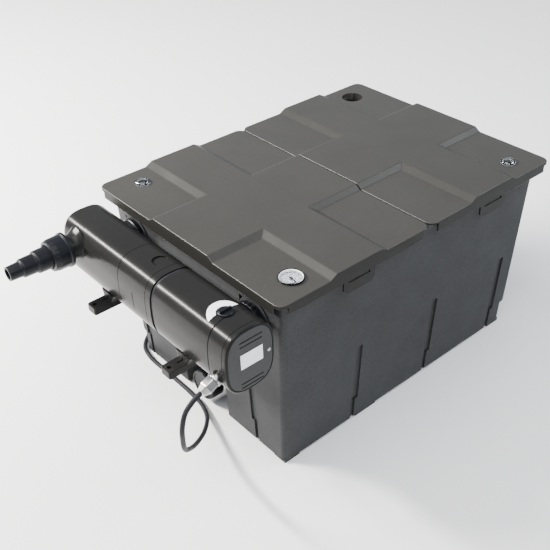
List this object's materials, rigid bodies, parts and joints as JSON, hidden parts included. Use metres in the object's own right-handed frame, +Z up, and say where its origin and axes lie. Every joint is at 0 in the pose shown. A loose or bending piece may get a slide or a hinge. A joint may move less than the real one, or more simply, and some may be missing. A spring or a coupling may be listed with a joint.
{
  "type": "pond box filter with clarifier",
  "caption": "Box filter for a garden pond: tapered tank with two lift-off lids, foam chambers, drain, and a long ultraviolet clarifier tube with a power cord on its front wall.",
  "frame": {"origin": "centre of the tank's base, on the ground", "axes": "+Z up, -Y towards the front wall that carries the clarifier, +X towards the lamp head's end"},
  "size_m": [0.5905, 0.835, 0.35],
  "materials": {
    "shell_plastic": "injection-moulded, fine grain",
    "lid_plastic": "injection-moulded, fine leather-like grain",
    "housing_plastic": "semi-gloss moulded",
    "fitting_plastic": "moulded, bluish black",
    "rubber": "smooth black",
    "white_plate": "satin white",
    "clear_cover": "clear plastic",
    "quartz": "clear quartz",
    "lamp_glass": "translucent tube",
    "steel": "zinc plated",
    "chrome": "nickel plated",
    "pin_metal": "nickel plated",
    "pointer": "dark pointer",
    "float_plastic": "red",
    "blue_foam": "open-cell foam",
    "coarse_mat": "matted fibre",
    "fine_foam": "fine foam",
    "media_net": "net bag of ceramic media"
  },
  "bodies": {
    "tank": {"tank_shell": "shell_plastic", "divider_wall": "shell_plastic", "front_support_grate": "fitting_plastic", "rear_support_grate": "fitting_plastic", "foam_block_1": "blue_foam", "foam_block_2": "blue_foam", "foam_block_3": "blue_foam", "foam_core_1": "fitting_plastic", "foam_core_2": "fitting_plastic", "foam_core_3": "fitting_plastic", "bio_media_bag": "media_net", "coarse_filter_mat": "coarse_mat", "fine_filter_mat": "fine_foam", "wall_gasket": "rubber", "wall_lock_nut": "fitting_plastic", "transfer_pipe": "fitting_plastic", "spare_port_gasket": "rubber", "drain_pipe": "fitting_plastic", "drain_cap_seal": "rubber", "outlet_pipe": "fitting_plastic", "uv_inlet_chamber": "housing_plastic", "uv_outlet_chamber": "housing_plastic", "uv_seal_ring": "rubber", "uv_head_cap": "housing_plastic", "head_end_plate": "shell_plastic", "head_label": "white_plate", "end_plate_screw": "steel", "lock_dial_plate": "white_plate", "quartz_sleeve": "quartz", "uv_lamp": "lamp_glass", "lamp_holder": "fitting_plastic", "sleeve_seal": "rubber", "ballast": "steel", "inlet_hose_tail": "fitting_plastic", "gland_body": "chrome", "gland_nut": "chrome", "power_cable": "rubber", "cable_coil": "rubber", "plug_lead": "rubber", "cable_tie": "fitting_plastic", "plug_body": "fitting_plastic", "plug_pin_front": "pin_metal", "plug_pin_rear": "pin_metal"},
    "front_lid": {"front_lid": "lid_plastic", "thermometer_case": "fitting_plastic", "thermometer_bezel": "fitting_plastic", "thermometer_dial": "white_plate", "thermometer_lens": "clear_cover", "front_indicator_lens": "clear_cover"},
    "rear_lid": {"rear_lid": "lid_plastic", "rear_indicator_lens": "clear_cover"},
    "thermometer_needle": {"thermometer_needle": "pointer"},
    "front_indicator_float": {"front_indicator_float": "float_plastic"},
    "rear_indicator_float": {"rear_indicator_float": "float_plastic"},
    "lamp_lock_knob": {"lamp_lock_knob": "fitting_plastic"},
    "inlet_union_nut": {"inlet_union_nut": "fitting_plastic"},
    "transfer_union_nut": {"transfer_union_nut": "fitting_plastic"},
    "spare_port_plug": {"spare_port_plug": "fitting_plastic"},
    "drain_cap": {"drain_cap": "fitting_plastic"},
    "outlet_lock_nut": {"outlet_lock_nut": "fitting_plastic"}
  },
  "joints": [
    {"name": "front_lid_lift", "type": "slide", "parent": "tank", "child": "front_lid", "axis": [0, 0, 1], "range_m": [0, 0.12]},
    {"name": "rear_lid_lift", "type": "slide", "parent": "tank", "child": "rear_lid", "axis": [0, 0, 1], "range_m": [0, 0.12]},
    {"name": "thermometer_needle_turn", "type": "hinge", "parent": "front_lid", "child": "thermometer_needle", "pos_m": [0.182, -0.241, 0.343], "axis": [0, 0, 1], "range_deg": [-135, 135]},
    {"name": "front_float_rise", "type": "slide", "parent": "front_lid", "child": "front_indicator_float", "axis": [0, 0, 1], "range_m": [0, 0.01]},
    {"name": "rear_float_rise", "type": "slide", "parent": "rear_lid", "child": "rear_indicator_float", "axis": [0, 0, 1], "range_m": [0, 0.01]},
    {"name": "lamp_lock_turn", "type": "hinge", "parent": "tank", "child": "lamp_lock_knob", "pos_m": [0.168, -0.3457, 0.3306], "axis": [0, 0, 1], "range_deg": [0, 90]},
    {"name": "inlet_union_turn", "type": "hinge", "parent": "tank", "child": "inlet_union_nut", "pos_m": [-0.163, -0.3855, 0.2955], "axis": [0, -1, 0], "continuous": true},
    {"name": "transfer_union_turn", "type": "hinge", "parent": "tank", "child": "transfer_union_nut", "pos_m": [0.149, -0.2845, 0.278], "axis": [0, -1, 0], "continuous": true},
    {"name": "spare_plug_turn", "type": "hinge", "parent": "tank", "child": "spare_port_plug", "pos_m": [-0.149, -0.2845, 0.278], "axis": [0, -1, 0], "continuous": true},
    {"name": "drain_cap_turn", "type": "hinge", "parent": "tank", "child": "drain_cap", "pos_m": [-0.007, -0.23, 0.039], "axis": [0, -1, 0], "continuous": true},
    {"name": "outlet_nut_turn", "type": "hinge", "parent": "tank", "child": "outlet_lock_nut", "pos_m": [0, 0.278, 0.245], "axis": [0, 1, 0], "continuous": true}
  ]
}
